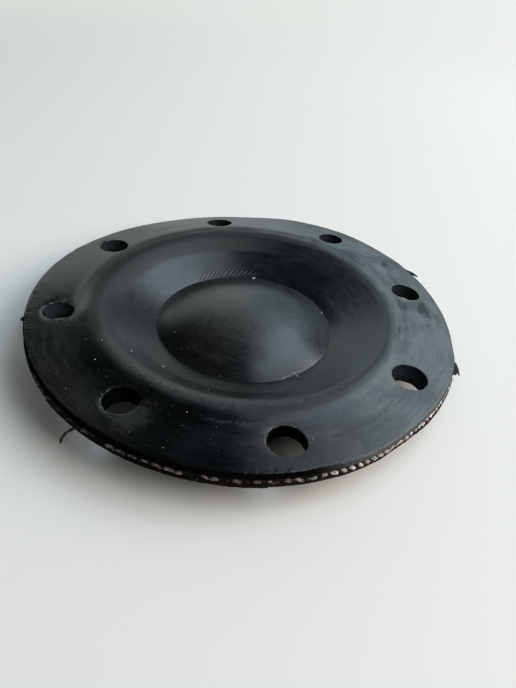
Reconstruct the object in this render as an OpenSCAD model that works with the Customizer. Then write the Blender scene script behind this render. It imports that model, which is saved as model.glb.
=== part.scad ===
// Pneumatic valve diaphragm: one moulding of rubber over a woven ply, with a bolted flange,
// a dished wall and a domed centre. The origin is the bolt circle's centre on the flange's
// upper face, +Z points out of the dish, and one bolt hole lies on +X.

/* [Flange] */
// Outside diameter of the cut edge
rim_d = 130; // [124:0.5:140]
// Thickness of the sheet, the same all over
wall_t = 4; // [3:0.1:5]

/* [Bolt holes] */
// Diameter of the circle through the hole centres
bolt_circle_d = 110; // [108:0.5:112]
// Number of holes
bolt_count = 8; // [4:1:12]
// Diameter of each hole, which clears an M8 bolt
bolt_hole_d = 9; // [6:0.1:9.5]

/* [Lip round the dish] */
// Diameter at the lip's crest
lip_d = 90.8; // [88:0.1:92]
// Height of the crest above the flange
lip_h = 0.9; // [0.4:0.05:1]
// Radius of the crest, and of the fillet outside it, in section
lip_r = 6; // [5.5:0.1:6.5]

/* [Dish wall and dome] */
// Slope of the wall where it leaves the lip, in degrees
wall_slope = 31; // [28:0.5:33]
// Radius of the wall's hollow curve, in section
wall_r = 190; // [150:5:400]
// Diameter of the sharp crease between the wall and the dome
crease_d = 56; // [52:0.5:60]
// Spherical radius of the dome's upper face
dome_r = 64; // [56:1:90]

/* [Loose ends at the cut edge] */
// Thickness of the stray yarn that hangs out of the ply
yarn_d = 0.8; // [0.6:0.1:1]
// Depth of the ply below the upper face
ply_depth = 2.2; // [1.6:0.1:2.4]
// Radius of the stray yarn's bend
yarn_bend_r = 11; // [9:0.5:14]
// Angle that the stray yarn turns down through, in degrees
yarn_droop = 40; // [30:1:50]
// Thickness of the slivers of rubber left by the cutter
flash_t = 0.8; // [0.6:0.1:1]

/* [Hidden] */
$fn = 192;
rim_r = rim_d / 2;
crest_r = lip_d / 2;
crease_r = crease_d / 2;
arc_step = 3;
cut_over = 1;
bite = 1;

// Slope at which the fillet outside the lip passes into its crest
lip_turn = acos(1 - lip_h / (2 * lip_r));
// Radius at which the flat flange ends
foot_r = crest_r + 2 * lip_r * sin(lip_turn);

// Centres of the section's arcs, as [radius from the axis, height]
fillet_c = [foot_r, lip_r];
crest_c = [crest_r, lip_h - lip_r];
wall_c = crest_c + (lip_r + wall_r) * [-sin(wall_slope), cos(wall_slope)];

// The crease, where the wall's arc reaches its radius
crease_slope = asin((crease_r - wall_c[0]) / wall_r);
crease = [crease_r, wall_c[1] - wall_r * cos(crease_slope)];
dome_edge_slope = asin(crease_r / dome_r);
dome_c = [0, crease[1] - dome_r * cos(dome_edge_slope)];

// Direction in which the stray yarn leaves the edge, and the size of its frayed end
yarn_turn = -138;
yarn_end_d = 1.5 * yarn_d;

// Slivers of rubber, as [direction, width along the edge, reach beyond it, lean of the tip]
flash_slivers = [[12.7, 6, 0.9, -1.2], [-34.5, 6.5, 2.2, -1.6], [-176.8, 2.4, 1, 0.4]];
flash_drop = 0.3;

// Points along an arc from angle a to angle b, with both ends
function arc(c, r, a, b) =
    let (n = max(2, ceil(abs(b - a) / arc_step)))
    [for (i = [0:n]) let (t = a + (b - a) * i / n) c + r * [cos(t), sin(t)]];

// One face of the sheet from the edge to the crease, d below the upper face
function flange_to_crease(d) = concat(
    [[rim_r, -d]],
    arc(fillet_c, lip_r + d, 270, 270 - lip_turn),
    arc(crest_c, lip_r - d, 90 - lip_turn, 90 + wall_slope),
    arc(wall_c, wall_r + d, wall_slope - 90, crease_slope - 90));

// The dome's face from the crease to the axis, d below the upper face
function dome_face(d) = arc(dome_c, dome_r - d, 90 - dome_edge_slope, 90);

// Under the crease the sheet turns through an arc about the crease itself
function under_crease() = arc(crease, wall_t, crease_slope - 90, -90 - dome_edge_slope);

function reversed(p) = [for (i = [len(p) - 1:-1:0]) p[i]];

// Half of the moulding's section, from the axis to the cut edge
module section() {
    polygon(concat(
        flange_to_crease(0),
        dome_face(0),
        reversed(dome_face(wall_t)),
        reversed(under_crease()),
        reversed(flange_to_crease(wall_t))));
}

module bolt_holes() {
    for (i = [0:bolt_count - 1])
        rotate(360 * i / bolt_count)
            translate([bolt_circle_d / 2, 0, -wall_t - cut_over])
                cylinder(d = bolt_hole_d, h = wall_t + 2 * cut_over);
}

// One yarn of the ply that leaves the cut edge, droops and ends in a tuft
module stray_yarn() {
    rotate(yarn_turn)
        translate([rim_r - bite, 0, -ply_depth - yarn_bend_r])
            rotate([90, 0, 0]) {
                rotate_extrude(angle = yarn_droop, start = 90 - yarn_droop)
                    translate([yarn_bend_r, 0])
                        circle(d = yarn_d, $fn = 24);
                rotate(90 - yarn_droop)
                    translate([yarn_bend_r, 0, 0])
                        sphere(d = yarn_end_d, $fn = 24);
            }
}

// A pointed sliver of rubber that stands out of the edge just under the upper face
module flash_sliver(turn, width, reach, lean) {
    rotate(turn)
        translate([rim_r - bite, 0, -flash_drop - flash_t])
            linear_extrude(flash_t)
                polygon([[0, -width / 2], [bite + reach, lean], [0, width / 2]]);
}

module diaphragm() {
    color("#1d2226") {
        difference() {
            rotate_extrude() section();
            bolt_holes();
        }
        stray_yarn();
        for (s = flash_slivers)
            flash_sliver(s[0], s[1], s[2], s[3]);
    }
}

diaphragm();
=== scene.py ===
import random
import bmesh
import bpy
from math import acos, asin, atan2, cos, degrees, pi, radians, sin, sqrt, tan
from mathutils import Matrix, Vector, noise


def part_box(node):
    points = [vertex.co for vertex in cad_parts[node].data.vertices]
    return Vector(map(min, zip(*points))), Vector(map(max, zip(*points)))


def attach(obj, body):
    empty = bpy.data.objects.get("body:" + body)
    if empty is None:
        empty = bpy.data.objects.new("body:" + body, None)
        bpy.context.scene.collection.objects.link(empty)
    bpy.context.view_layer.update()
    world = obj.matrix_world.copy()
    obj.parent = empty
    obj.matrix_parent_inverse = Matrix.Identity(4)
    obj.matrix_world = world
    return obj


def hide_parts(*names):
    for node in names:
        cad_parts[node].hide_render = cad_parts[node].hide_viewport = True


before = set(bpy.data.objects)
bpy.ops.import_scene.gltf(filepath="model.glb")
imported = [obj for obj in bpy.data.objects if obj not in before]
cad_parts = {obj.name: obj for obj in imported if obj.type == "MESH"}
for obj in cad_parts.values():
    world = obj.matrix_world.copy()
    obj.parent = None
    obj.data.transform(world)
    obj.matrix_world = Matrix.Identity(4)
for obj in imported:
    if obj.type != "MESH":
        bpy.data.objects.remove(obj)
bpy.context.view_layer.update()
cadNode = "diaphragm"
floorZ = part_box(cadNode)[0].z
mm = 0.001
print("frame loaded")


# helpers

# 0 below low, 1 above high, smooth between
def ease(low, high, x):
    t = min(max((x - low) / (high - low), 0), 1)
    return t * t * (3 - 2 * t)


# a value read off a ring of (bearing, value) keys, smooth between them
def aroundRim(keys, bearing):
    for (a, va), (b, vb) in zip(keys, keys[1:]):
        if a <= bearing <= b:
            return va + (vb - va) * ease(a, b, bearing)
    return keys[0][1]


def wobble(point, scale, seed=0):
    return noise.noise(Vector(point) * scale + Vector((seed * 17.3, seed * 5.1, seed * 9.7)))


# a point from its bearing in degrees, its distance from the axis and its height
def polar(bearing, radius, z=0):
    turn = radians(bearing)
    return Vector((radius * cos(turn), radius * sin(turn), z))


def bearingOf(p):
    return degrees(atan2(p.y, p.x))


# level, and a quarter turn to the left
def leftOf(p):
    return Vector((-p.y, p.x, 0))


# turns the normals outward and reports the mesh
def closeMesh(name, bm):
    bmesh.ops.recalc_face_normals(bm, faces=bm.faces)
    print(name, sum(len(f.verts) - 2 for f in bm.faces), "triangles,",
          sum(not e.is_manifold for e in bm.edges), "open edges")


# turns a bmesh in millimetres into an object in metres
def makePiece(name, bm, materials, smooth=True):
    bmesh.ops.scale(bm, vec=(mm, mm, mm), verts=bm.verts)
    for face in bm.faces:
        face.smooth = smooth
    mesh = bpy.data.meshes.new(name)
    bm.to_mesh(mesh)
    bm.free()
    for material in materials:
        mesh.materials.append(material)
    piece = bpy.data.objects.new(name, mesh)
    bpy.context.scene.collection.objects.link(piece)
    return piece


# joins a value to a node's socket, or sets it there
def feed(socket, value):
    if isinstance(value, bpy.types.NodeSocket):
        value.id_data.links.new(value, socket)
    else:
        socket.default_value = value


# one shader node with its settings and inputs; gives back its outputs
def addNode(tree, kind, inputs=None, **settings):
    made = tree.nodes.new("ShaderNode" + kind)
    for name, value in settings.items():
        setattr(made, name, value)
    for name, value in (inputs or {}).items():
        feed(made.inputs[name], value)
    return made.outputs


def useGroup(tree, group, inputs=None):
    return addNode(tree, "Group", inputs, node_tree=group)


# one step of arithmetic, in the tree that the sockets among the values belong to
def calc(operation, *values):
    tree = next(v.id_data for v in values if isinstance(v, bpy.types.NodeSocket))
    return addNode(tree, "Math", dict(enumerate(values)), operation=operation)[0]


def plus(a, b):
    return calc("ADD", a, b)


def minus(a, b):
    return calc("SUBTRACT", a, b)


def times(a, b, *more):
    product = calc("MULTIPLY", a, b)
    return times(product, *more) if more else product


# a times b, plus c
def timesPlus(a, b, c):
    return calc("MULTIPLY_ADD", a, b, c)


# a total plus each level times its amount
def addUp(total, *terms):
    for level, amount in terms:
        total = timesPlus(level, amount, total)
    return total


def vectorCalc(operation, *vectors):
    return addNode(vectors[0].id_data, "VectorMath", dict(enumerate(vectors)), operation=operation)


# 0 to 1 as value goes from low to high; low may be above high
def ramp(value, low, high):
    return addNode(value.id_data, "MapRange", {"Value": value, "From Min": low, "From Max": high},
                   interpolation_type="SMOOTHSTEP")[0]


# 1 between the middle two of four keys, 0 beyond the outer two
def within(value, keys):
    return times(ramp(value, keys[0], keys[1]), ramp(value, keys[3], keys[2]))


def mix(factor, a, b):
    return addNode(factor.id_data, "Mix", {0: factor, 2: a, 3: b})[0]


def mixColour(factor, a, b):
    return addNode(factor.id_data, "Mix", {0: factor, 6: a, 7: b}, data_type="RGBA")[2]


def noiseOf(vector, scale, detail=3.0, roughness=0.55, distortion=0.0):
    return addNode(vector.id_data, "TexNoise", {"Vector": vector, "Scale": scale, "Detail": detail,
                                                "Roughness": roughness, "Distortion": distortion})["Fac"]


vectorSockets = ("Around", "Centre", "Point")  # the groups' other sockets are numbers


def newGroup(name, given, found):
    group = bpy.data.node_groups.new(name, "ShaderNodeTree")
    for labels, way in ((given, "INPUT"), (found, "OUTPUT")):
        for label in labels:
            kind = "NodeSocketVector" if label in vectorSockets else "NodeSocketFloat"
            group.interface.new_socket(name=label, in_out=way, socket_type=kind)
    return group, group.nodes.new("NodeGroupInput").outputs, group.nodes.new("NodeGroupOutput").inputs


def newMaterial(name):
    material = bpy.data.materials.new(name)
    material.use_nodes = True
    tree = material.node_tree
    return material, tree, tree.nodes["Principled BSDF"].inputs


# colour, roughness, shine and relief in mm of a shader
def setShader(shader, colour, rough, shine=0.5, relief=None):
    for name, value in (("Base Color", colour), ("Roughness", rough), ("Specular IOR Level", shine)):
        feed(shader[name], value)
    if relief:
        feed(shader["Normal"], addNode(relief.id_data, "Bump", {"Height": times(relief, mm), "Strength": 1.0,
                                                                "Distance": 1.0})[0])


# camera, at the photograph's viewing angle

camera = {  # lengths in mm, angles in degrees
    "bearing": -16.2, "elevation": 38.76, "roll": 6.76,
    "right": 5.2, "up": -12.3, "distance": 163.6,
    "focalPixels": 520, "imageHeight": 688, "sensor": 36, "nearClip": 5, "farClip": 50000,
}


def makeCamera():
    data = bpy.data.cameras.new("photoCamera")
    data.sensor_width = camera["sensor"]
    data.lens = camera["focalPixels"] / camera["imageHeight"] * camera["sensor"]
    data.clip_start = camera["nearClip"] * mm
    data.clip_end = camera["farClip"] * mm
    turn = Matrix.Rotation(radians(camera["bearing"]), 4, "Z")
    tilt = Matrix.Rotation(radians(90 - camera["elevation"]), 4, "X")
    offset = Matrix.Translation(mm * Vector((camera["right"], camera["up"], camera["distance"])))
    made = bpy.data.objects.new("photoCamera", data)
    made.matrix_world = turn @ tilt @ offset @ Matrix.Rotation(radians(camera["roll"]), 4, "Z")
    bpy.context.scene.collection.objects.link(made)
    bpy.context.scene.camera = made


makeCamera()
print("camera placed")


# floor, world and lamps

studio = {  # angles as seen from the part; bearings from the camera's line of sight, positive to its right
    "floorSize": 16.0, "fade": (0.32, 0.75),
    "floorColour": (0.80, 0.80, 0.785, 1), "floorRough": 0.6,
    "worldColour": (0.010, 0.011, 0.012, 1),
    "seenLeft": (0.66, 0.715, 0.67, 1), "seenRight": (0.88, 0.90, 0.88, 1), "seenTurn": (-34, 36),
    "lampDistance": 1.6,
    "lamps": [  # name, bearing, height, width and length in degrees, colour seen, where 1 is white
        ("backWallLow", -20, 24, 40, 17, (0.90, 1.00, 0.98)),
        ("backWallHigh", 8, 39, 44, 13, (0.62, 0.74, 0.80)),
        ("farWallLow", 22, 24, 36, 17, (0.24, 0.29, 0.34)),
        ("leftWall", -68, 32, 56, 34, (0.03, 0.035, 0.04)),
        ("window", 44, 54, 27, 26, (2.65, 3.25, 3.75)), ("windowTop", 70, 73, 16, 16, (2.20, 2.70, 2.90)),
        ("windowEdge", 21, 42, 18, 14, (0.60, 0.70, 0.78)), ("sideLow", 90, 24, 57, 17, (8.2, 7.2, 6.2)),
        ("sideMiddle", 92, 41, 50, 17, (5.6, 5.9, 6.1)), ("sideHigh", 100, 59, 28, 17, (1.1, 0.95, 0.75)),
        ("leftTable", -75, 7, 48, 14, (0.80, 0.78, 0.60)), ("farTable", 0, 7, 96, 14, (0.62, 0.76, 0.76)),
        ("roomLeft", -128, 50, 44, 30, (0.75, 0.76, 0.72)),
    ],
}


def makeFloor():
    bm = bmesh.new()
    bmesh.ops.create_grid(bm, x_segments=1, y_segments=1, size=studio["floorSize"] / 2 / mm,
                          matrix=Matrix.Translation((0, 0, floorZ / mm)))
    material, tree, shader = newMaterial("paleFloor")
    setShader(shader, studio["floorColour"], studio["floorRough"])
    away = vectorCalc("LENGTH", addNode(tree, "TexCoord")["Object"])["Value"]
    seen = addNode(tree, "LightPath")["Is Camera Ray"]
    feed(shader["Alpha"], minus(1.0, times(ramp(away, *studio["fade"]), seen)))
    floor = makePiece("floor", bm, [material], smooth=False)


# the pale backdrop goes from grey at the left to white at the right, for the camera alone: painted light,
# brighter towards the lamps at the right
def makeWorld():
    world = bpy.data.worlds.new("softRoom")
    bpy.context.scene.world = world
    world.use_nodes = True
    tree = world.node_tree
    way = addNode(tree, "SeparateXYZ", {0: addNode(tree, "TexCoord")["Generated"]})
    left, right = (radians(a - camera["bearing"]) for a in studio["seenTurn"])
    backdrop = mixColour(ramp(calc("ARCTAN2", way[0], way[1]), left, right), studio["seenLeft"],
                         studio["seenRight"])
    seen = addNode(tree, "LightPath")["Is Camera Ray"]
    feed(tree.nodes["Background"].inputs["Color"], mixColour(seen, studio["worldColour"], backdrop))


def makeLamps():
    distance = studio["lampDistance"]
    for name, bearing, height, wide, long, colour in studio["lamps"]:
        data = bpy.data.lights.new(name, "AREA")
        data.shape = "RECTANGLE"
        data.size, data.size_y = (2 * distance * tan(radians(a / 2)) for a in (wide, long))
        data.energy = max(colour) * pi * data.size * data.size_y
        data.color = [c / max(colour) for c in colour]
        turn, rise = radians(bearing - camera["bearing"]), radians(height)
        away = Vector((sin(turn) * cos(rise), cos(turn) * cos(rise), sin(rise)))
        lamp = bpy.data.objects.new(name, data)
        lamp.location = away * distance
        lamp.rotation_euler = away.to_track_quat("Z", "Y").to_euler()
        bpy.context.scene.collection.objects.link(lamp)


makeFloor()
makeWorld()
makeLamps()
bpy.context.scene.view_settings.view_transform = "Standard"
print("stage lit")


# materials

rubber = {  # lengths in mm, bearings in degrees from +X, heights of the relief in mm
    # the blue tints are a painted reflection of the bluish window on the +X side; the pale film colour stands
    # for dust and painted sheen
    "black": (0.0013, 0.0019, 0.0024, 1), "blackBlueReflection": (0.0010, 0.0030, 0.0052, 1),
    "filmAndSheen": (0.122, 0.125, 0.122, 1), "filmBlueReflection": (0.100, 0.124, 0.135, 1), "blueReflectionSide": (-0.2, 0.9),
    # the pale brink and edge colours: torn and worn rubber, and painted highlights where these edges face the
    # lamps
    "tornBrinkHighlight": (0.085, 0.092, 0.094, 1), "edgeWearAndHighlightColour": (0.20, 0.215, 0.215, 1),
    "dishRough": 0.28, "flangeRough": 0.17, "filmRough": 0.50, "flange": (44.5, 48.5),
    # the pale film is painted as painted sheen of the window on the side towards this bearing; the edge of
    # that side follows
    "sheenBearing": 20, "sheenEdge": (-0.45, 0.25), "filmDish": 0.03, "filmFlange": 0.76,
    # where the pale upper edge line, wear and painted highlight, runs round the rim
    "lipRub": (39.5, 43.0, 46.5, 49.5), "edgeWearAndHighlight": (-84, -68, -34, -22), "edgeWearAndHighlightR": (64.1, 64.7),
    "wavy": 0.030, "lumpy": 0.010, "pebble": 0.0035, "grain": 0.0010, "turned": 0.0030,
    "hairDepth": 0.002, "tornHeight": 0.05,
    "cloud": (0.07, 5.0, 0.62, 0.5), "fleck": (0.8, 5.0, 0.7),  # scale, detail, roughness, distortion
    "hairs": [{"Scale": 0.11, "Width": 0.003, "Kept": 0.55},
              {"Scale": 0.17, "Width": 0.0035, "Kept": 0.58, "Turn": 1.1}],
    "rings": [  # radius, half width, from, to, how pale
        (56.7, 0.22, -86, -50, -0.8), (56.0, 0.75, 92, 122, -1.1), (54.2, 0.9, 92, 124, 0.4),
        (59.0, 0.30, 112, 132, -0.5), (27.6, 0.30, -84, -40, 1.1), (43.6, 0.25, -129, -112, 0.35),
        (44.5, 0.18, -127, -110, 0.25), (57.0, 0.7, -20, -4, 0.25), (58.7, 0.4, -60, -20, 0.18),
        (60.6, 0.5, 5, 60, 0.14), (45.0, 2.4, -168, -42, 0.26), (22.5, 2.2, -152, -112, 0.12),
        (50.5, 0.9, -116, -84, -0.6), (62.6, 0.8, -78, -30, 0.16)],
    "patches": [  # soft areas: where they begin and end by radius, then by bearing, how pale, how dull
        ((-2, -1, 7, 24), (-400, -399, 399, 400), 0.24, 0.0),
        ((12, 18, 27.9, 28.2), (-50, -20, 60, 95), 0.10, 0.0),
        ((29, 33, 45.5, 48), (-60, -20, 0, 35), 0.26, 0.0),
        ((27.5, 31, 42, 45), (-175, -135, -60, -35), 0.13, 0.0),
        ((35.5, 38, 40.5, 42.5), (-175, -155, -95, -75), -0.30, 0.0),
        ((37.5, 39.5, 42, 44.5), (50, 80, 150, 178), 0.04, 0.28),
        ((43, 45, 49.5, 52), (28, 62, 150, 179), -0.6, 0.38),
        ((50.5, 52.5, 60, 63), (35, 55, 95, 118), 0.25, 0.0),
        ((44.5, 46, 51.5, 53.5), (-106, -92, -72, -58), -0.24, 0.0),
        ((43, 47, 63, 66), (-107, -91, -48, -22), 0.0, 0.18),
        ((56, 59, 66, 67), (-90, -82, -66, -56), -0.13, 0.0), ((36, 40, 46, 49), (8, 20, 46, 60), 0.12, 0.0),
        ((53, 60, 66, 67), (-179, -160, -140, -120), 0.06, 0.0),
        ((50, 52, 63, 64.5), (-48, -36, -22, -12), 0.25, 0.0)],
    "spots": [  # x, y, half size along and across, bearing of its length, how pale
        (52.0, 15.5, 3.6, 2.3, 70, 0.50), (54.5, 18.5, 3.0, 1.2, 60, -0.7), (50.0, -7.0, 3.4, 1.7, 80, -0.7),
        (46.5, 3.0, 2.8, 1.4, 95, 0.50), (57.5, -9.0, 2.2, 5.0, -10, -0.6), (52.5, -13.0, 2.6, 4.0, 20, 0.5),
        (-36.0, -44.0, 6.0, 4.0, 40, 0.12), (41.0, 45.0, 7.0, 2.6, 135, 0.22),
        (20.0, 54.0, 8.0, 2.6, 165, 0.2),
        (61.0, -8.0, 4.5, 1.6, 85, 0.35), (59.0, 2.0, 4.0, 1.4, 95, 0.3)],
    "tornAndLitWay": (-0.96, 0.28, 0),  # the side on which the holes' brinks are torn, and painted pale as a painted highlight where they face the lamps
    "tickPitch": 1.7, "tickSlant": 1.1, "tickDepth": 0.11,
    "ticks": (29.8, 2.08, 64, 116),  # radius, half width, from, to
}
bare = {  # what the die laid bare; Turn and Depth say where one colour goes over into the next
    # the hole walls and the cut rim go paler round towards the lamps at the right and far side: dust, and
    # painted light
    "wall": (0.0003, 0.0004, 0.0005, 1), "wallDustAndLight": [(0.0030, 0.0034, 0.0038, 1), (0.028, 0.034, 0.038, 1)],
    "wallTurn": (-75, -40), "rim": (0.0012, 0.0012, 0.0012, 1),
    "rimDustAndLight": [(0.0055, 0.0052, 0.0050, 1), (0.18, 0.19, 0.19, 1)], "rimTurn": (-88, -73),
    "lower": [(0.006, 0.005, 0.004, 1), (0.030, 0.025, 0.020, 1)], "lowerDepth": (2.85, 3.05),
    # the ply's colours go from darker, as painted shade at the left, to brown round the rest
    "ply": (0.003, 0.0024, 0.002, 1), "plyShadeAndBrown": [(0.005, 0.004, 0.0035, 1), (0.013, 0.010, 0.008, 1)],
    "clean": (-125, -75),  # the cut edge is browner from here on round the near side; before it, at the left, its lower layer and ply are painted darker as painted shade
    "soil": (0.020, 0.015, 0.011, 1), "soilKept": 0.6,
    "cutFinish": (0.75, 0.0), "flashFinish": (0.6, 0.15),  # roughness and shine
    "plyFinish": (0.85, 0.08), "yarnFinish": (0.85, 0.15),
    "cutRelief": 0.09, "plyRelief": 0.15, "yarnRelief": 0.05,  # mm
}


# where a point lies on the part: radius in mm, bearing in degrees, way from the axis, point in mm
def makePlaceGroup():
    tree, _, out = newGroup("placeOnPart", [], ["Radius", "Bearing", "Around", "Point"])
    point = vectorCalc("MULTIPLY", addNode(tree, "TexCoord")["Object"], (1 / mm, 1 / mm, 1 / mm))[0]
    parts = addNode(tree, "SeparateXYZ", {0: point})
    flat = addNode(tree, "CombineXYZ", {0: parts[0], 1: parts[1]})[0]
    feed(out["Radius"], vectorCalc("LENGTH", flat)["Value"])
    feed(out["Bearing"], times(calc("ARCTAN2", parts[1], parts[0]), degrees(1)))
    feed(out["Around"], vectorCalc("NORMALIZE", flat)[0])
    feed(out["Point"], point)
    return tree


# a soft arc at a radius between two bearings, its edge broken by noise
def makeRingGroup():
    tree, given, out = newGroup("ringMark", ["At", "Half Width", "From", "To"], ["Mask"])
    place = useGroup(tree, placeOnPart)
    stray = times(minus(noiseOf(place["Point"], 0.25, 2.0), 0.5), 1.6)
    off = calc("ABSOLUTE", plus(minus(place["Radius"], given["At"]), stray))
    line = ramp(minus(1.0, calc("DIVIDE", off, given["Half Width"])), 0.0, 1.0)
    enter = ramp(minus(place["Bearing"], given["From"]), 0.0, 7.0)
    leave = ramp(minus(given["To"], place["Bearing"]), 0.0, 7.0)
    broken = ramp(noiseOf(place["Point"], 0.9, 3.0, 0.6), 0.32, 0.6)
    feed(out["Mask"], times(line, broken, enter, leave))
    return tree


# a soft oval stain with a ragged edge
def makeSpotGroup():
    tree, given, out = newGroup("spotMark", ["Centre", "Turn", "Along", "Across"], ["Mask"])
    place = useGroup(tree, placeOnPart)
    off = vectorCalc("SUBTRACT", place["Point"], given["Centre"])[0]
    parts = addNode(tree, "SeparateXYZ", {0: addNode(tree, "VectorRotate", {
        "Vector": off, "Angle": times(given["Turn"], -1.0)}, rotation_type="Z_AXIS")[0]})
    along, across = calc("DIVIDE", parts[0], given["Along"]), calc("DIVIDE", parts[1], given["Across"])
    away = calc("SQRT", timesPlus(along, along, times(across, across)))
    ragged = times(minus(noiseOf(place["Point"], 0.55, 4.0, 0.6), 0.5), 1.8)
    feed(out["Mask"], ramp(plus(away, ragged), 1.25, 0.45))
    return tree


# fine curved scratches: thin contour lines of a stretched noise, kept in patches
def makeScratchGroup():
    tree, given, out = newGroup("hairScratches", ["Scale", "Width", "Kept", "Turn"], ["Mask"])
    place = useGroup(tree, placeOnPart)
    turned = addNode(tree, "VectorRotate", {"Vector": place["Point"], "Angle": given["Turn"]},
                     rotation_type="Z_AXIS")[0]
    stretched = vectorCalc("MULTIPLY", turned, (0.35, 1.3, 1.0))[0]
    off = calc("ABSOLUTE", minus(noiseOf(stretched, given["Scale"], 1.0, 0.5), 0.5))
    line = ramp(calc("DIVIDE", off, given["Width"]), 1.0, 0.2)
    kept = ramp(minus(noiseOf(place["Point"], 0.16, 3.0, 0.6), given["Kept"]), 0.0, 0.08)
    feed(out["Mask"], times(line, kept))
    return tree


# streaks that run round the part, as the mould was turned and the rubber flowed
def makeStreakGroup():
    tree, given, out = newGroup("turnedStreaks", ["Along", "Across"], ["Level"])
    place = useGroup(tree, placeOnPart)
    parts = addNode(tree, "SeparateXYZ", {0: vectorCalc("MULTIPLY", place["Around"], given["Along"])[0]})
    depth = times(place["Radius"], given["Across"])
    spot = addNode(tree, "CombineXYZ", {0: parts[0], 1: parts[1], 2: depth})[0]
    feed(out["Level"], noiseOf(spot, 1.0, 4.0, 0.6, 0.3))
    return tree


placeOnPart = makePlaceGroup()
ringMark = makeRingGroup()
spotMark = makeSpotGroup()
hairScratches = makeScratchGroup()
turnedStreaks = makeStreakGroup()


def ringOf(tree, at, half, start, stop):
    return useGroup(tree, ringMark, {"At": at, "Half Width": half, "From": start, "To": stop})["Mask"]


# the drawn-on marks, added up: above 0 pale, below 0 dark
def sumMarks(tree):
    marks = [(ringOf(tree, *ring), pale) for *ring, pale in rubber["rings"]]
    for x, y, along, across, turn, pale in rubber["spots"]:
        given = {"Centre": (x, y, 0), "Turn": radians(turn), "Along": along, "Across": across}
        marks.append((useGroup(tree, spotMark, given)["Mask"], pale))
    return addUp(0.0, *marks)


# the soft areas' paleness and dullness, added up
def sumAreas(place):
    pale, dull = 0.0, 0.0
    for radii, bearings, paler, duller in rubber["patches"]:
        mask = times(within(place["Radius"], radii), within(place["Bearing"], bearings))
        pale = timesPlus(mask, paler, pale) if paler else pale
        dull = timesPlus(mask, duller, dull) if duller else dull
    return pale, dull


# slanted dents of the weave along the foot of the wall
def weaveTicks(tree, place):
    pitch = rubber["tickPitch"]
    turns = times(place["Bearing"], radians(rubber["ticks"][0]) / pitch)
    wave = calc("SINE", times(timesPlus(place["Radius"], rubber["tickSlant"] / pitch, turns), 2 * pi))
    return times(ramp(wave, 0.0, 0.9), ringOf(tree, *rubber["ticks"]))


def attributeOf(tree, name, output="Fac"):
    return addNode(tree, "Attribute", attribute_name=name)[output]


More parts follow.
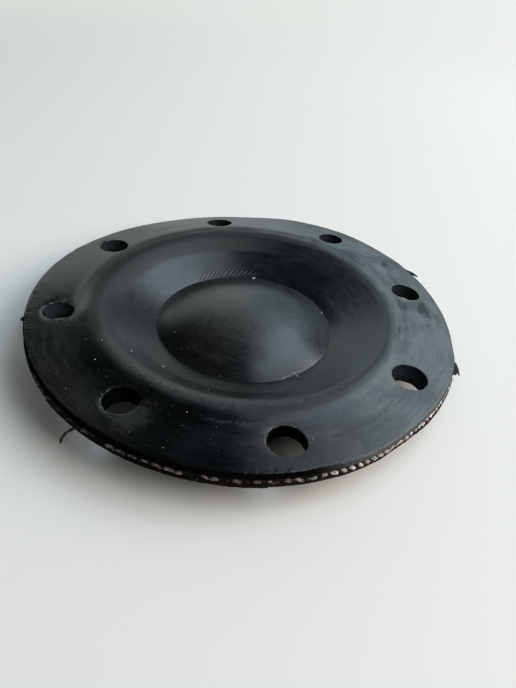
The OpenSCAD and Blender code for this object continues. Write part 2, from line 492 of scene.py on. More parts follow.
def makeRubberFace():
    material, tree, shader = newMaterial("mouldedRubber")
    place = useGroup(tree, placeOnPart)
    point = place["Point"]
    onFlange = ramp(place["Radius"], *rubber["flange"])
    side = vectorCalc("DOT_PRODUCT", place["Around"], polar(rubber["sheenBearing"], 1))["Value"]
    cloud, fleck = noiseOf(point, *rubber["cloud"]), noiseOf(point, *rubber["fleck"])
    streak = useGroup(tree, turnedStreaks, {"Along": 7.0, "Across": 0.9})["Level"]
    fine = useGroup(tree, turnedStreaks, {"Along": 22.0, "Across": 3.2})["Level"]
    hairs = plus(*(useGroup(tree, hairScratches, given)["Mask"] for given in rubber["hairs"]))
    hairs = times(hairs, timesPlus(onFlange, -0.85, 1.0))
    marks = sumMarks(tree)
    worn, dull = sumAreas(place)

    # painted sheen: the pale film lies mostly on the side that faces the window, standing in for its sheen;
    # the noises break it up as dust
    sheenSide = ramp(side, *rubber["sheenEdge"])
    patchy = timesPlus(ramp(cloud, 0.32, 0.68), 0.85, 0.45)
    streaky = timesPlus(ramp(streak, 0.3, 0.7), 0.7, 0.6)
    filmAndSheen = times(sheenSide, mix(onFlange, rubber["filmDish"], rubber["filmFlange"]), times(patchy, streaky))
    flecks = timesPlus(ramp(fine, 0.50, 0.75), 0.26, times(ramp(fleck, 0.58, 0.8), 0.16))
    flecks = times(flecks, timesPlus(onFlange, 0.75, 0.25))
    # flecks, scratches, stains and pale areas add to the film; the flecks are painted stronger on the sheen
    # side
    filmAndSheen = addUp(filmAndSheen, (flecks, timesPlus(sheenSide, 0.85, 0.13)), (hairs, 0.18), (marks, 0.8),
                 (worn, streaky))
    filmAndSheen = calc("MINIMUM", calc("MAXIMUM", filmAndSheen, 0.0), 1.4)
    # painted reflection: the black and the film are tinted blue towards +X, on the right, where the bluish
    # window is reflected
    blueReflection = ramp(addNode(tree, "SeparateXYZ", {0: place["Around"]})[0], *rubber["blueReflectionSide"])
    colour = mixColour(filmAndSheen, mixColour(blueReflection, rubber["black"], rubber["blackBlueReflection"]),
                       mixColour(blueReflection, rubber["filmAndSheen"], rubber["filmBlueReflection"]))
    # painted highlight: the torn brinks on the side of each hole that faces the lamps are painted pale
    way = vectorCalc("DOT_PRODUCT", attributeOf(tree, "holeWay", "Vector"), rubber["tornAndLitWay"])["Value"]
    torn = times(ramp(attributeOf(tree, "holeGap"), 1.15, 0.25), ramp(way, 0.2, 1.0), ramp(fleck, 0.45, 0.62))
    # worn edge and painted highlight: a pale line along the rim's upper edge at the near right, where the
    # lamps catch it
    edgeWearAndHighlight = times(ramp(attributeOf(tree, "cutRadius"), *rubber["edgeWearAndHighlightR"]),
                     within(place["Bearing"], rubber["edgeWearAndHighlight"]), ramp(noiseOf(point, 0.7), 0.25, 0.55), 0.7)
    colour = mixColour(edgeWearAndHighlight, mixColour(torn, colour, rubber["tornBrinkHighlight"]), rubber["edgeWearAndHighlightColour"])

    rubbed = times(within(place["Radius"], rubber["lipRub"]), minus(1.0, sheenSide))
    rough = plus(mix(onFlange, rubber["dishRough"], rubber["flangeRough"]), dull)
    rough = addUp(rough, (minus(cloud, 0.5), 0.24), (minus(streak, 0.5), 0.16), (rubbed, 0.15),
                  (calc("MINIMUM", marks, 0.0), -0.35))
    matt = calc("MINIMUM", plus(filmAndSheen, calc("MINIMUM", plus(edgeWearAndHighlight, torn), 1.0)), 1.0)

    relief = addUp(
        0.0, (noiseOf(point, 0.12, 2.0), rubber["wavy"]), (noiseOf(point, 0.38, 2.0), rubber["lumpy"]),
        (noiseOf(point, 1.3, 3.0, 0.6), rubber["pebble"]), (noiseOf(point, 5.0, 2.0), rubber["grain"]),
        (fine, rubber["turned"]), (weaveTicks(tree, place), -rubber["tickDepth"]),
        (hairs, -rubber["hairDepth"]), (torn, rubber["tornHeight"]))
    setShader(shader, colour, mix(matt, rough, rubber["filmRough"]), relief=relief)
    return material


# rubber laid bare by the die: black above the ply, brown-grey below it, matt walls in the holes
def makeRubberCut():
    material, tree, shader = newMaterial("cutRubber")
    place = useGroup(tree, placeOnPart)
    bearing, crumb = place["Bearing"], noiseOf(place["Point"], 2.2, 5.0, 0.7)
    onRim = ramp(attributeOf(tree, "cutRadius"), 62.0, 63.0)
    # dust and painted light: the hole walls and the cut rim are paler on the side round towards the lamps
    wall = mixColour(crumb, bare["wall"], mixColour(ramp(bearing, *bare["wallTurn"]), *bare["wallDustAndLight"]))
    rim = mixColour(crumb, bare["rim"], mixColour(ramp(bearing, *bare["rimTurn"]), *bare["rimDustAndLight"]))
    # painted shade: the brown-grey lower layer is mostly hidden at the left, which lies in shade
    below = times(ramp(attributeOf(tree, "depth"), *bare["lowerDepth"]), onRim,
                  timesPlus(ramp(bearing, *bare["clean"]), 0.8, 0.2))
    colour = mixColour(below, mixColour(onRim, wall, rim), mixColour(ramp(crumb, 0.3, 0.7), *bare["lower"]))
    relief = timesPlus(noiseOf(place["Point"], 0.9), 0.5, crumb)
    setShader(shader, colour, *bare["cutFinish"], times(relief, bare["cutRelief"]))
    return material


def makeFlashRubber():
    material, tree, shader = newMaterial("flashRubber")
    setShader(shader, bare["rim"], *bare["flashFinish"])
    return material


def makePlyBase():
    material, tree, shader = newMaterial("plyMatrix")
    place = useGroup(tree, placeOnPart)
    crumb = noiseOf(place["Point"], 1.6, 4.0, 0.65)
    # painted shade: the ply is darker at the left and browner from the near side round
    toneAndPaintedLight = mixColour(ramp(place["Bearing"], *bare["clean"]), *bare["plyShadeAndBrown"])
    colour = mixColour(ramp(crumb, 0.35, 0.7), bare["ply"], toneAndPaintedLight)
    setShader(shader, colour, *bare["plyFinish"], times(crumb, bare["plyRelief"]))
    return material


# each strand's own tint, soiled in patches and fibrous
def makeYarnMaterial():
    material, tree, shader = newMaterial("yarnEnds")
    point = useGroup(tree, placeOnPart)["Point"]
    soil = times(ramp(noiseOf(point, 1.1, 4.0, 0.7), 0.42, 0.68), bare["soilKept"])
    tint = mixColour(soil, attributeOf(tree, "tint", "Color"), bare["soil"])
    setShader(shader, tint, *bare["yarnFinish"], times(noiseOf(point, 9.0, 2.0), bare["yarnRelief"]))
    return material


mouldedRubber = makeRubberFace()
cutRubber = makeRubberCut()
flashRubber = makeFlashRubber()
plyMatrix = makePlyBase()
yarnFibre = makeYarnMaterial()
print("materials made")


# the moulding: section, holes and cut edge

sheet = {  # the section, mm and degrees, with z = 0 at the flange's upper face
    "rimR": 65.0, "thick": 4.0, "lipR": 45.4, "lipH": 0.9, "lipArc": 6.0,
    "wallSlope": 31.0, "wallArc": 190.0, "creaseR": 28.0, "domeArc": 64.0,
    "bolts": 8, "boltR": 55.0, "holeR": 4.5,
    "bandR": 61.0, "flatRingR": 4.95, "ringStep": 0.3,  # where the flat plate meets the edge and holes
    "innerSteps": 32, "outerSteps": 144, "sideCuts": 13, "upperCuts": 6, "lowerCuts": 3,
    "upperGap": 0.8, "lowerGap": 1.6,
    "set": 0.9, "setBearing": 12.5, "uneven": 0.05,  # two-lobed set that the rubber has taken
    "crownR": 52.0, "crownStart": 43.0,  # the flange is crowned at the far side and droops at the rim
    "crown": [(-180, -0.2), (-140, 0.1), (-90, -0.3), (-45, 0.3), (0, 1.1), (45, 1.3), (90, 1.2),
              (140, 0.2), (180, -0.2)],
    "droop": [(-180, 1.7), (-20, 1.7), (0, 1.8), (25, 1.4), (45, 0.9), (60, 1.0), (82, 1.9), (110, 2.2),
              (131, 2.0), (150, 1.7), (180, 1.7)],
    "fillR": (45.8, 48.8, 53.5),  # the lip's outer foot is filled in at the left and near side
    "fill": [(-180, 0.34), (-120, 0.38), (-60, 0.36), (-25, 0.1), (0, 0), (135, 0), (180, 0.34)],
}
punched = {  # how each hole differs from the even pattern in mm, for holes at 0, 45, 90 degrees and so on
    "shift": [(0.0, 0.5), (2.0, -0.1), (0.2, 0.9), (-1.1, 0.0), (-0.6, -0.3), (0.5, 0.1), (-0.7, -0.7),
              (-0.1, 0.4)],
    "lean": [(-0.8, -1.65), (-0.5, -1.6), (-0.4, -1.6), (-0.3, -1.7), (0.2, -2.2), (-0.1, -1.3), (0.0, 0.0),
             (-1.9, -2.1)],
    "stretch": [1.0, 0.94, 1.0, 1.0, 0.92, 0.98, 1.04, 1.06],
    "reach": 10.5, "dish": 0.04, "dishReach": 3.4, "rough": (0.06, 0.05), "roughFoot": 0.10,
    "torn": 0.36, "chipped": 0.35, "frayed": 0.12, "worn": 0.25,
}
wornEdge = {  # how the cut edge differs round the rim: (bearing from +X in degrees, value)
    "top": [(-180, -0.1), (-160, 0), (-137, 0), (-97, 0), (-90, -0.2), (-85, -0.5), (-76, -0.3),
            (-70, -0.5), (-62, -0.9), (-55, -0.8), (-47, -0.5), (-40, -0.3), (-33, -0.3), (-22, -1.1),
            (-8, -1.0), (8, -0.6), (23, -0.2), (35, 0.1), (55, 0.1), (81, -0.2), (98, -0.1), (108, -0.5),
            (119, -0.7), (131, -0.7), (146, -0.1), (180, -0.1)],
    "bottom": [(-180, 0.2), (-157, 0.4), (-130, 0.4), (-97, 0.5), (-80, 0.2), (-72, -0.2), (-65, -0.7),
               (-60, -0.7), (-53, -0.2), (-44, 0.1), (-34, 0.4), (-15, 0.0), (12, -0.5), (30, -0.2),
               (55, 0), (82, -0.3), (122, -0.7), (150, 0), (180, 0.2)],
    "plyDepth": [(-180, 2.6), (-140, 2.7), (-98, 2.4), (-76, 2.25), (-50, 1.5), (0, 1.4), (90, 2.1),
                 (180, 2.6)],
    "ragged": [(-180, 1.0), (-150, 1.8), (-96, 1.8), (-80, 0.8), (180, 0.8)],
    "waves": [(0.07, 0.25), (0.05, 0.9), (0.03, 2.3)],  # height in mm, waves per mm
    "plyHalf": 0.78, "middle": 2.2, "stepBearing": -96.3, "stepEnd": -150, "step": 0.25, "lifted": 0.05,
}
rimR, thick, bandR = sheet["rimR"], sheet["thick"], sheet["bandR"]
holeR, ringR, creaseR = sheet["holeR"], sheet["flatRingR"], sheet["creaseR"]
lipArc, wallSlope, wallArc, domeArc = (sheet[name] for name in ("lipArc", "wallSlope", "wallArc", "domeArc"))
plyHalf, plyMiddle = wornEdge["plyHalf"], wornEdge["middle"]


def arcPoints(centre, radius, start, end, spacing):
    count = max(3, round(abs(radians(end - start)) * radius / spacing))
    angles = [radians(start + (end - start) * i / count) for i in range(count + 1)]
    return [Vector((centre[0] + radius * cos(a), 0, centre[1] + radius * sin(a))) for a in angles]


lipTurn = degrees(acos(1 - sheet["lipH"] / (2 * lipArc)))
footR = sheet["lipR"] + 2 * lipArc * sin(radians(lipTurn))
filletCentre = (footR, lipArc)
crestCentre = (sheet["lipR"], sheet["lipH"] - lipArc)
wallReach = lipArc + wallArc
wallCentre = (crestCentre[0] - wallReach * sin(radians(wallSlope)),
              crestCentre[1] + wallReach * cos(radians(wallSlope)))
creaseSlope = degrees(asin((creaseR - wallCentre[0]) / wallArc))
creaseZ = wallCentre[1] - wallArc * cos(radians(creaseSlope))
domeSlope = degrees(asin(creaseR / domeArc))
domeCentre = (0, creaseZ - domeArc * cos(radians(domeSlope)))
eighth = 2 * pi / sheet["bolts"]


# one face of the sheet from the flange's inner end to the axis, down below the upper face
def dishFace(down, gap):
    points = arcPoints(filletCentre, lipArc + down, 270, 270 - lipTurn, gap / 2)
    points += arcPoints(crestCentre, lipArc - down, 90 - lipTurn, 90 + wallSlope, gap / 2)
    points += arcPoints(wallCentre, wallArc + down, wallSlope - 90, creaseSlope - 90, gap)
    if down:
        points += arcPoints((creaseR, creaseZ), down, creaseSlope - 90, -90 - domeSlope, gap / 2)
    return points + arcPoints(domeCentre, domeArc - down, 90 - domeSlope, 90, gap * 1.5)


# the cut edge from the upper face round to the lower one, with the ply set back
def edgeFace():
    rows = [(rimR - bandR, 0), (3.1, 0), (2.2, 0), (1.4, 0), (0.8, 0), (0.3, 0), (0.16, -0.02), (0.04, -0.08),
            (0, -0.22), (0, -0.7), (0, -1.1), (0, plyHalf + 0.12 - plyMiddle), (0.12, plyHalf - plyMiddle),
            (0.22, plyHalf / 2 - plyMiddle), (0.22, -plyMiddle - plyHalf / 2), (0.1, -plyMiddle - plyHalf),
            (0, -plyMiddle - plyHalf - 0.12), (0, 0.7 - thick), (0, 0.3 - thick), (0.1, 0.08 - thick),
            (0.4, -thick), (1.2, -thick), (2.4, -thick), (rimR - bandR, -thick)]
    return [Vector((rimR - inset, 0, z)) for inset, z in rows]


# the hole's wall from the upper face down: radius about the hole's axis, height
def holeRows():
    rows = [(0.3, 0), (0.07, -0.005), (0.02, -0.06), (0, -0.25), (0, -1.1), (0, -1.9), (0, -2.7), (0, -3.4),
            (0.06, 0.1 - thick), (0.3, -thick), (ringR - holeR, -thick)]
    return [(holeR + gap, z) for gap, z in rows]


# turns a section through an eighth of the way round
def sweepLine(bm, points, steps):
    verts = [bm.verts.new(Matrix.Rotation(-eighth / 2, 3, "Z") @ p) for p in points]
    edges = [bm.edges.new(pair) for pair in zip(verts, verts[1:])]
    bmesh.ops.spin(bm, geom=verts + edges, axis=(0, 0, 1), angle=eighth, steps=steps)


# moves vertices onto a circle about the hole's axis
def ontoCircle(verts, radius, z):
    centre = Vector((sheet["boltR"], 0))
    for v in verts:
        v.co.xy = centre + (v.co.xy - centre).normalized() * radius
        v.co.z = z


def vertsOf(geom):
    return [g for g in geom if isinstance(g, bmesh.types.BMVert)]


def edgesAmong(verts):
    return [e for e in {e for v in verts for e in v.link_edges} if all(v in verts for v in e.verts)]


# grows a new loop of edges from a loop round the hole, at a radius and height
def growLoop(bm, loop, radius, z):
    verts = set(vertsOf(bmesh.ops.extrude_edge_only(bm, edges=loop)["geom"]))
    ontoCircle(verts, radius, z)
    return edgesAmong(verts)


# an eighth of one face of the flange: its outline, drawn in to a ring round its hole
def flangePlate(bm, z, cuts):
    ends, outline = [], []
    for radius, steps in ((footR, sheet["innerSteps"]), (bandR, sheet["outerSteps"])):
        first = bm.verts.new(Matrix.Rotation(-eighth / 2, 3, "Z") @ Vector((radius, 0, z)))
        before = set(bm.edges)
        swept = bmesh.ops.spin(bm, geom=[first], axis=(0, 0, 1), angle=eighth, steps=steps)
        outline += [e for e in bm.edges if e not in before]
        ends.append((first, vertsOf(swept["geom_last"])[0]))
    sides = [bm.edges.new((ends[0][k], ends[1][k])) for k in (0, 1)]
    cut = bmesh.ops.subdivide_edges(bm, edges=sides, cuts=sheet["sideCuts"])
    outline += list({e for e in cut["geom"] if isinstance(e, bmesh.types.BMEdge)} | set(sides))
    border = {v for e in outline for v in e.verts}
    ring = growLoop(bm, outline, ringR, z)
    spokes = [e for v in border for e in v.link_edges if not all(w in border for w in e.verts)]
    bmesh.ops.subdivide_edges(bm, edges=spokes, cuts=cuts, use_grid_fill=True)
    long = [e for e in ring if e.calc_length() > sheet["ringStep"] * 1.6]
    split = bmesh.ops.subdivide_edges(bm, edges=long, cuts=2)
    around = {v for e in ring for v in e.verts} | set(vertsOf(split["geom_inner"]))
    ontoCircle(around, ringR, z)
    return edgesAmong(around)


# moves a height on the cut edge as the ply's depth changes round the rim
def shiftLayers(z, depth):
    marks = [(0.1, 0.1), (plyHalf - plyMiddle, plyHalf - depth), (-plyHalf - plyMiddle, -plyHalf - depth),
             (-thick - 0.1, -thick - 0.1)]
    for (a, va), (b, vb) in zip(marks, marks[1:]):
        if b <= z <= a:
            return va + (vb - va) * (z - a) / (b - a)
    return z


# how far the cut edge lies outside the nominal rim at a point's bearing and height
def edgeOffset(p):
    bearing = bearingOf(p)
    ragged = aroundRim(wornEdge["ragged"], bearing)
    on = Vector((p.x, p.y, 0)).normalized() * rimR + Vector((0, 0, p.z))
    slow, middling, quick = (size * wobble(on, scale, k) for k, (size, scale) in enumerate(wornEdge["waves"]))
    offset = slow + ragged * (middling + quick)
    if wornEdge["stepEnd"] < bearing < wornEdge["stepBearing"] and p.z < -3:
        offset += wornEdge["step"]
    top, bottom = aroundRim(wornEdge["top"], bearing), aroundRim(wornEdge["bottom"], bearing)
    return offset + bottom + (top - bottom) * ease(-3.4, -0.1, p.z)


# how far the sheet has lifted at a point
def setOf(p):
    reach, bearing = p.xy.length, bearingOf(p)
    lobe = cos(2 * radians(bearing - sheet["setBearing"]))
    lift = sheet["set"] * lobe * (reach / rimR) ** 2
    beyond = max(0, reach - sheet["crownR"]) / (rimR - sheet["crownR"])
    fall = aroundRim(sheet["droop"], bearing) * beyond
    crown = aroundRim(sheet["crown"], bearing) * ease(sheet["crownStart"], sheet["crownR"] - 1, reach)
    low, top, high = sheet["fillR"]
    fill = aroundRim(sheet["fill"], bearing) * ease(low, top, reach) * ease(high, top, reach)
    return lift + crown * (1 - fall) + fill + sheet["uneven"] * wobble((p.x, p.y, 0), 0.06, 7)


def wearEdge(v):
    p = v.co.copy()
    near = ease(bandR, rimR - 0.3, p.xy.length)
    if p.xy.length > rimR - 0.3:
        p.z = shiftLayers(p.z, aroundRim(wornEdge["plyDepth"], bearingOf(p)))
    outward = Vector((p.x, p.y, 0)).normalized()
    lift = wornEdge["lifted"] * aroundRim(wornEdge["ragged"], bearingOf(p)) * wobble(p, 1.1, 3)
    lift *= ease(-0.2, 0, p.z)
    v.co = p + near * (outward * edgeOffset(p) + Vector((0, 0, lift)))


# which hole is nearest, and the way from its axis to a point
def fromHole(p):
    which = round(atan2(p.y, p.x) / eighth) % sheet["bolts"]
    turn = which * eighth
    return which, p.xy - Vector((cos(turn), sin(turn))) * sheet["boltR"]


# the rough wall, torn brink and shallow dish of a punched hole
def wearHole(v, away):
    p, gap = v.co.copy(), away.length - holeR
    onWall = ease(0.7, 0.2, gap)
    upper, lower = ease(-0.6, 0, p.z), ease(-2.8, -3.8, p.z)
    slow, quick = punched["rough"]
    rough = slow * wobble(p, 0.7, 4) + (quick + punched["roughFoot"] * lower) * wobble(p, 2.4, 5)
    side = max(0, away.normalized().dot(Vector(rubber["tornAndLitWay"][:2])))
    brink = ease(-1.3, 0, p.z) * ease(1.6, 0.3, gap)
    chip = brink * (punched["torn"] * side + punched["chipped"] * max(0, wobble(p, 0.9, 6) - 0.1)
                    + punched["frayed"] * side * wobble(p, 2.2, 9))
    push = away.normalized() * (rough * onWall + chip)
    dish = -punched["dish"] * ease(punched["dishReach"], 0, gap) ** 1.5 * upper
    v.co = p + Vector((push.x, push.y, dish - punched["worn"] * chip * upper))


# moves a point near a hole as that hole lies off the even pattern
def shiftHole(v, which, away):
    near = ease(punched["reach"], ringR, away.length)
    move = Vector(punched["shift"][which]) * near
    move += away * (punched["stretch"][which] - 1) * ease(8, ringR, away.length)
    if away.length < ringR + 0.05:
        move += Vector(punched["lean"][which]) * ease(0.3, thick - 0.4, -v.co.z)
    v.co.xy += move


def paintLayers(bm):
    for face in bm.faces:
        p = face.calc_center_median()
        if p.xy.length > rimR - 0.3 and abs(p.z + plyMiddle) < plyHalf:
            face.material_index = 2
        elif p.xy.length > rimR - 0.25 or fromHole(p)[1].length < holeR + 0.05:
            face.material_index = 1


def makeBody():
    bm = bmesh.new()
    loop = flangePlate(bm, 0, sheet["upperCuts"])
    for radius, z in holeRows():
        loop = growLoop(bm, loop, radius, z)
    flangePlate(bm, -thick, sheet["lowerCuts"])
    sweepLine(bm, dishFace(0, sheet["upperGap"]), sheet["innerSteps"])
    sweepLine(bm, dishFace(thick, sheet["lowerGap"]), sheet["innerSteps"])
    sweepLine(bm, edgeFace(), sheet["outerSteps"])
    bmesh.ops.spin(bm, geom=bm.verts[:] + bm.edges[:] + bm.faces[:], axis=(0, 0, 1),
                   angle=2 * pi - eighth, steps=sheet["bolts"] - 1, use_duplicate=True)
    bmesh.ops.remove_doubles(bm, verts=bm.verts, dist=0.004)
    crease = [e for e in bm.edges if all(abs(v.co.xy.length - creaseR) < 0.01
                                         and abs(v.co.z - creaseZ) < 0.01 for v in e.verts)]
    for edge in crease:
        edge.smooth = False
    paintLayers(bm)
    layers = bm.verts.layers
    depth, cutRadius, holeGap = (layers.float.new(name) for name in ("depth", "cutRadius", "holeGap"))
    holeWay = layers.float_vector.new("holeWay")
    for v in bm.verts:
        which, away = fromHole(v.co)
        v[depth], v[cutRadius], v[holeGap] = -v.co.z, v.co.xy.length, away.length - holeR
        v[holeWay] = away.normalized().to_3d()
        if v.co.xy.length > bandR - 0.1:
            wearEdge(v)
        if away.length < holeR + punched["dishReach"]:
            wearHole(v, away)
        shiftHole(v, which, away)
        v.co.z += setOf(v.co)
    closeMesh("moulding:", bm)
    body = makePiece("mouldedDiaphragm", bm, [mouldedRubber, cutRubber, plyMatrix])
    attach(body, "root")
    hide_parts(cadNode)


makeBody()


# yarn ends in the cut edge, the stray yarn and loose fibres

def newStrands():
    bm = bmesh.new()
    bm.verts.layers.float_color.new("tint")
    return bm


# a closed tube along path(t) with t from 0 to 1, rolled up from a grid
def addStrand(bm, path, radius, sides, cuts, tint):
    tintLayer = bm.verts.layers.float_color["tint"]
    verts = bmesh.ops.create_grid(bm, x_segments=sides, y_segments=cuts, size=0.5)["verts"]
    for v in verts:
        t, turn = v.co.y + 0.5, 2 * pi * (v.co.x + 0.5)
        width = radius(t) if 0.001 < t < 0.999 else 0
        along = (path(t + 0.01) - path(t - 0.01)).normalized()
        side = along.cross(Vector((0, 0, 1)))
        side = side.normalized() if side.length > 0.1 else Vector((1, 0, 0))
        v.co = path(t) + (side * cos(turn) + side.cross(along) * sin(turn)) * width
        v[tintLayer] = tint
    return verts


# joins the seams of a piece made of strands
def finishStrands(name, bm):
    bmesh.ops.remove_doubles(bm, verts=bm.verts, dist=0.001)
    closeMesh(name + ":", bm)
    piece = makePiece(name, bm, [yarnFibre])
    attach(piece, "root")


yarns = {  # woven ply: two families of yarn at right angles, mm and degrees
    "families": [
        {"bearing": -32, "pitch": 1.62, "other": 1.5, "radius": 0.50, "strandR": 0.29, "strands": 3,
         "crimp": 0.22, "proud": 0.08,
         "tints": [(0.56, 0.52, 0.49), (0.46, 0.36, 0.34), (0.66, 0.63, 0.60), (0.30, 0.21, 0.19),
                   (0.50, 0.49, 0.48)]},
        {"bearing": 58, "pitch": 1.5, "other": 1.62, "radius": 0.32, "strandR": 0.22, "strands": 2,
         "crimp": -0.24, "proud": -0.04,
         "tints": [(0.07, 0.045, 0.035), (0.12, 0.08, 0.06), (0.05, 0.03, 0.03)]},
    ],
    "twist": 2.6, "overrun": 0.5, "perCut": 0.45, "sides": 7,
    # how bright the yarn ends are round the rim: darker with dirt at the left, and painted brighter at the
    # near right as painted light where the lip shades them
    "toneAndPaintedLight": [(-180, 0.5), (-150, 0.22), (-118, 0.45), (-96, 0.75), (-80, 1.5), (-50, 1.8), (0, 1.7),
               (30, 1.0), (180, 0.5)],
    "covered": (0.6, 0.85), "thinned": 0.22,  # yarns cut lengthwise sink into the rubber between crests
    "missing": 0.3, "faded": 0.35, "shades": (0.6, 1.15), "plain": 0.6,  # plain: share of strands in one tint
    "shifted": 0.12, "stray": 0.06, "ragged": (-0.12, 0.06), "frayed": 0.06,
}


def addYarnEnd(bm, family, offset, sign, rng):
    way = polar(family["bearing"], 1)
    along, across = way * sign, leftOf(way)
    outer = sqrt(rimR ** 2 - max(0, abs(offset) - family["radius"]) ** 2) + yarns["overrun"]
    inner = sqrt(max(0, rimR ** 2 - (abs(offset) + family["radius"]) ** 2)) - yarns["overrun"] - 0.8
    end = bearingOf(across * offset + along * outer)
    depth = aroundRim(wornEdge["plyDepth"], end)
    phase = rng.uniform(0, 2 * pi)
    flip = round(offset / family["pitch"]) % 2 * pi
    stray = rng.uniform(-yarns["stray"], yarns["stray"])
    proud = family["proud"] + rng.uniform(*yarns["ragged"])
    # dirt at the left and painted light at the near right
    toneAndPaintedLight = aroundRim(yarns["toneAndPaintedLight"], end)
    first = rng.choice(family["tints"])
    covered = ease(*yarns["covered"], abs(sin(radians(end - family["bearing"]))))

    def wave(reach):
        return sin(pi * reach * sign / family["other"] + flip)

    def width(t):
        sunk = covered * (1 - yarns["thinned"]) * ease(-0.2, -0.85, wave(inner + (outer - inner) * t))
        return family["strandR"] * (1 - sunk)

    if rng.random() < yarns["missing"] * covered:
        toneAndPaintedLight *= yarns["faded"]
    for k in range(family["strands"]):
        shade = rng.uniform(*yarns["shades"]) * toneAndPaintedLight
        base = first if rng.random() < yarns["plain"] else rng.choice(family["tints"])
        tint = [c * shade for c in base] + [1]

        def path(t):
            reach = inner + (outer - inner) * t
            angle = phase + 2 * pi * (k / family["strands"] + reach / yarns["twist"])
            spread = family["radius"] - family["strandR"] * 0.75
            over = family["crimp"] * wave(reach) + stray
            return (along * reach + across * (offset + spread * cos(angle))
                    + Vector((0, 0, over - depth + spread * sin(angle))))

        cuts = max(3, round((outer - inner) / yarns["perCut"]))
        for v in addStrand(bm, path, width, yarns["sides"], cuts, tint):
            limit = rimR + edgeOffset(v.co) + proud + yarns["frayed"] * wobble(v.co, 3.0, 8)
            if v.co.xy.length > limit:
                v.co.xy = v.co.xy.normalized() * limit
            v.co.z += setOf(v.co)


def makeYarnEnds():
    bm = newStrands()
    rng = random.Random(11)
    for family in yarns["families"]:
        count = int(rimR / family["pitch"])
        for i in range(-count, count + 1):
            for sign in (-1, 1):
                offset = i * family["pitch"] + rng.uniform(-yarns["shifted"], yarns["shifted"])
                addYarnEnd(bm, family, offset, sign, rng)
    finishStrands("plyYarnEnds", bm)


stray = {  # the yarn that hangs from the cut edge, through (radius, bearing, height) in mm and degrees
    "points": [(62.5, -136.6, -2.3), (64.6, -137.3, -2.4), (66.2, -138.2, -2.7), (67.7, -138.9, -3.3),
               (69.0, -139.0, -4.2), (69.9, -138.9, -5.2)],
    "strands": 2, "strandR": 0.24, "spread": 0.17, "twist": 2.8, "frayed": 0.5, "thinned": 0.2,
    "sides": 8, "cuts": 40, "tint": (0.020, 0.017, 0.012, 1),
}


# a smooth line through points, t from 0 to 1 and a little beyond
def smoothLine(points, t):
    at = t * (len(points) - 1)
    i = min(max(int(at), 0), len(points) - 2)
    u = at - i
    a, b, c, d = (points[min(max(i + k, 0), len(points) - 1)] for k in (-1, 0, 1, 2))
    return 0.5 * (2 * b + (c - a) * u + (2 * a - 5 * b + 4 * c - d) * u * u
                  + (3 * b - a - 3 * c + d) * u ** 3)


def makeStrayYarn():
    bm = newStrands()
    points = [polar(bearing, radius, z) for radius, bearing, z in stray["points"]]
    lift = Vector((0, 0, setOf(points[1])))
    side = leftOf(points[0]).normalized()
    for k in range(stray["strands"]):
        def path(t):
            angle = 2 * pi * (k / stray["strands"] + t * stray["twist"])
            fray = stray["spread"] * (1 + stray["frayed"] * ease(0.85, 1, t))
            return (smoothLine(points, t) + lift + side * fray * cos(angle)
                    + Vector((0, 0, fray * sin(angle))))
        addStrand(bm, path, lambda t: stray["strandR"] * (1 - stray["thinned"] * t), stray["sides"],
                  stray["cuts"], stray["tint"])
    finishStrands("strayYarn", bm)


fibres = {  # thin fibres: bearing, radius, height, length, heading and rise in degrees, colour
    "radius": 0.045, "sides": 5, "cuts": 7, "thinned": 0.5, "bent": (0.35, 0.2), "offPly": 0.4,
    "random": 46, "length": (0.4, 1.0), "grey": (0.08, 0.4), "turned": 70, "risen": (-40, 30),
    "placed": [
        (-81, 64.3, 0.0, 2.0, -60, 38, (0.55, 0.55, 0.56)), (-37, 65.0, -1.2, 1.6, -75, 10, (0.5, 0.5, 0.5)),
        (-39, 65.0, -1.6, 1.9, -95, -25, (0.45, 0.45, 0.44)),
        (-42, 65.0, -1.4, 1.5, -70, -40, (0.5, 0.5, 0.5)),
        (-45, 65.0, -1.3, 1.3, -110, 15, (0.5, 0.49, 0.47)),
        (-49, 65.0, -1.7, 1.2, -80, -20, (0.4, 0.4, 0.4)),
        (7, 64.8, -0.2, 2.6, -70, 25, (0.03, 0.03, 0.03)), (4, 65.0, -0.5, 2.0, -50, 45, (0.05, 0.05, 0.05)),
        (-129, 64.8, -2.8, 1.6, -150, -30, (0.10, 0.07, 0.05)),
        (-118, 64.8, -2.7, 1.4, -100, -20, (0.30, 0.27, 0.24)),
        (-110, 64.8, -2.9, 1.2, -125, -10, (0.35, 0.32, 0.30)),
        (-152, 64.6, -2.4, 1.5, 170, -15, (0.08, 0.06, 0.05)),
    ],
}


def addFibre(bm, bearing, radius, z, length, heading, rise, colour, rng):
    start = polar(bearing, radius, z)
    start.z += setOf(start)
    go = polar(heading, cos(radians(rise)), sin(radians(rise)))
    level, up = fibres["bent"]
    bend = go.cross(Vector((0, 0, 1))) * rng.uniform(-level, level) + Vector((0, 0, rng.uniform(-up, up)))

    def path(t):
        return start + (go * t + bend * t * t) * length

    addStrand(bm, path, lambda t: fibres["radius"] * (1 - fibres["thinned"] * t), fibres["sides"],
              fibres["cuts"], (*colour, 1))


def makeFibres():
    bm = newStrands()
    rng = random.Random(5)
    for row in fibres["placed"]:
        addFibre(bm, *row, rng)
    for _ in range(fibres["random"]):
        bearing = rng.uniform(-180, 180)
        depth, off = aroundRim(wornEdge["plyDepth"], bearing), fibres["offPly"]
        grey = rng.uniform(*fibres["grey"])
        addFibre(bm, bearing, rimR - 0.25, rng.uniform(-off, off) - depth, rng.uniform(*fibres["length"]),
                 bearing + rng.uniform(-fibres["turned"], fibres["turned"]), rng.uniform(*fibres["risen"]),
                 (grey, grey * 0.93, grey * 0.86), rng)
    finishStrands("looseFibres", bm)


makeYarnEnds()
makeStrayYarn()
makeFibres()
print("loose ends made")


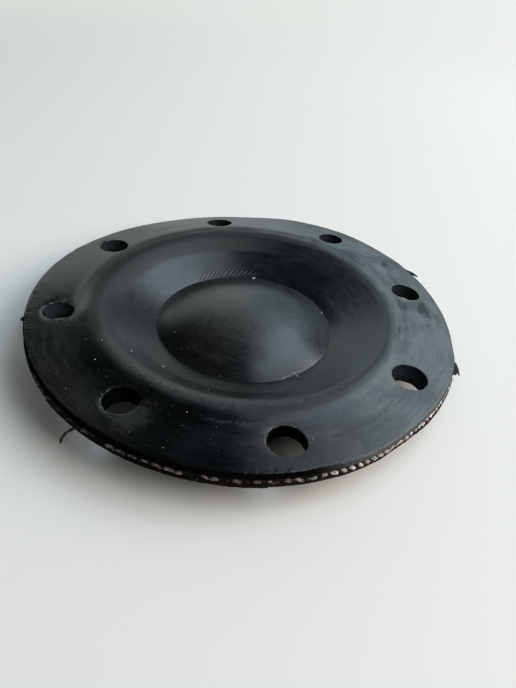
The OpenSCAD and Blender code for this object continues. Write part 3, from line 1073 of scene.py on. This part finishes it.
# slivers of rubber left on the edge by the die

flash = {  # mm and degrees
    "thick": 0.5, "top": -0.2, "soft": 0.08,
    "slivers": [  # bearing, fall for each mm outward, corners as (outward, sideways) from the rim
        (12.5, -0.5, [(-0.6, 3.4), (0.3, 2.9), (1.0, -0.3), (1.1, -3.0), (0.55, -1.2), (-0.6, -0.8)]),
        (-34.5, 0.45, [(-0.8, 4.4), (0.35, 4.0), (1.35, 2.3), (2.0, -0.1), (1.3, 0.5), (0.9, -1.0),
                       (-0.8, -1.2)]),
        (-176.8, 0.3, [(-0.6, 1.2), (0.5, 0.5), (1.0, -0.2), (0.3, -0.9), (-0.6, -1.2)])],
}


def makeFlash():
    bm = bmesh.new()
    for bearing, drop, corners in flash["slivers"]:
        out = polar(bearing, 1)
        side = leftOf(out)
        rim = rimR + edgeOffset(out * rimR + Vector((0, 0, flash["top"])))
        lift = setOf(out * rimR) + flash["top"]
        verts = [bm.verts.new(out * (rim + a) + side * b + Vector((0, 0, lift - drop * max(0, a))))
                 for a, b in corners]
        grown = bmesh.ops.extrude_face_region(bm, geom=[bm.faces.new(verts)])["geom"]
        bmesh.ops.translate(bm, verts=vertsOf(grown), vec=(0, 0, -flash["thick"]))
    bmesh.ops.recalc_face_normals(bm, faces=bm.faces)
    bmesh.ops.bevel(bm, geom=bm.edges[:], offset=flash["soft"], segments=2, profile=0.5, affect="EDGES",
                    material=-1)
    closeMesh("edgeFlash:", bm)
    piece = makePiece("edgeFlash", bm, [flashRubber])
    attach(piece, "root")


makeFlash()
print("edge slivers made")


# dust specks on the upper face

specks = {  # (bearing, radius, size in mm, stretch) of the specks that the photograph shows clearly
    "placed": [(72.3, 26.9, 0.42, 2.0), (5.4, 27.3, 0.24, 1.0), (-69.0, 28.9, 0.26, 1.3),
               (-159.6, 46.2, 0.20, 1.0), (-152.5, 50.7, 0.20, 1.0), (-20.1, 47.0, 0.24, 1.0),
               (-139.6, 36.1, 0.18, 2.5), (-152.0, 40.4, 0.16, 2.2), (-117.5, 50.1, 0.15, 1.2),
               (-72.6, 49.6, 0.20, 1.0), (-84.4, 55.9, 0.16, 1.0)],
    "scattered": 560, "middle": -130, "spread": 60, "reach": 63,  # bearings, then mm
    "cleanR": 20, "clean": 0.6, "flat": 0.6, "raised": 0.2, "lumpy": 0.25,
    "sizes": (0.035, 0.11), "shades": (0.15, 0.8), "colour": (0.62, 0.64, 0.64, 1),
}
upperLine = dishFace(0, 0.5)


def upperZ(radius):
    for a, b in zip(upperLine, upperLine[1:]):
        if b.x <= radius <= a.x:
            return a.z + (b.z - a.z) * (radius - a.x) / (b.x - a.x) if a.x > b.x else a.z
    return 0


def makeSpecks():
    bm = newStrands()
    tintLayer = bm.verts.layers.float_color["tint"]
    rng = random.Random(23)
    rows = [(*speck, 1.0) for speck in specks["placed"]]
    small, large = specks["sizes"]
    while len(rows) < specks["scattered"] + len(specks["placed"]):
        bearing = rng.gauss(specks["middle"], specks["spread"])
        radius = specks["reach"] * sqrt(rng.random())
        wiped = radius < specks["cleanR"] and rng.random() < specks["clean"]
        if wiped or fromHole(polar(bearing, radius))[1].length < holeR + 1:
            continue
        size = small + (large - small) * rng.random() ** 4
        rows.append((bearing, radius, size, rng.uniform(1, 2), rng.uniform(*specks["shades"])))
    for bearing, radius, size, stretch, shade in rows:
        spot = polar(bearing, radius, upperZ(radius))
        spot.z += setOf(spot) + size * specks["raised"]
        place = (Matrix.Translation(spot) @ Matrix.Rotation(rng.uniform(0, pi), 4, "Z")
                 @ Matrix.Diagonal((size * stretch, size, size * specks["flat"], 1)))
        made = bmesh.ops.create_icosphere(bm, subdivisions=1, radius=1, matrix=place)
        for v in made["verts"]:
            v.co += size * specks["lumpy"] * Vector([rng.uniform(-1, 1) for _ in range(3)])
            v[tintLayer] = [c * shade for c in specks["colour"][:3]] + [1]
    finishStrands("dustSpecks", bm)


makeSpecks()
print("dust specks made")
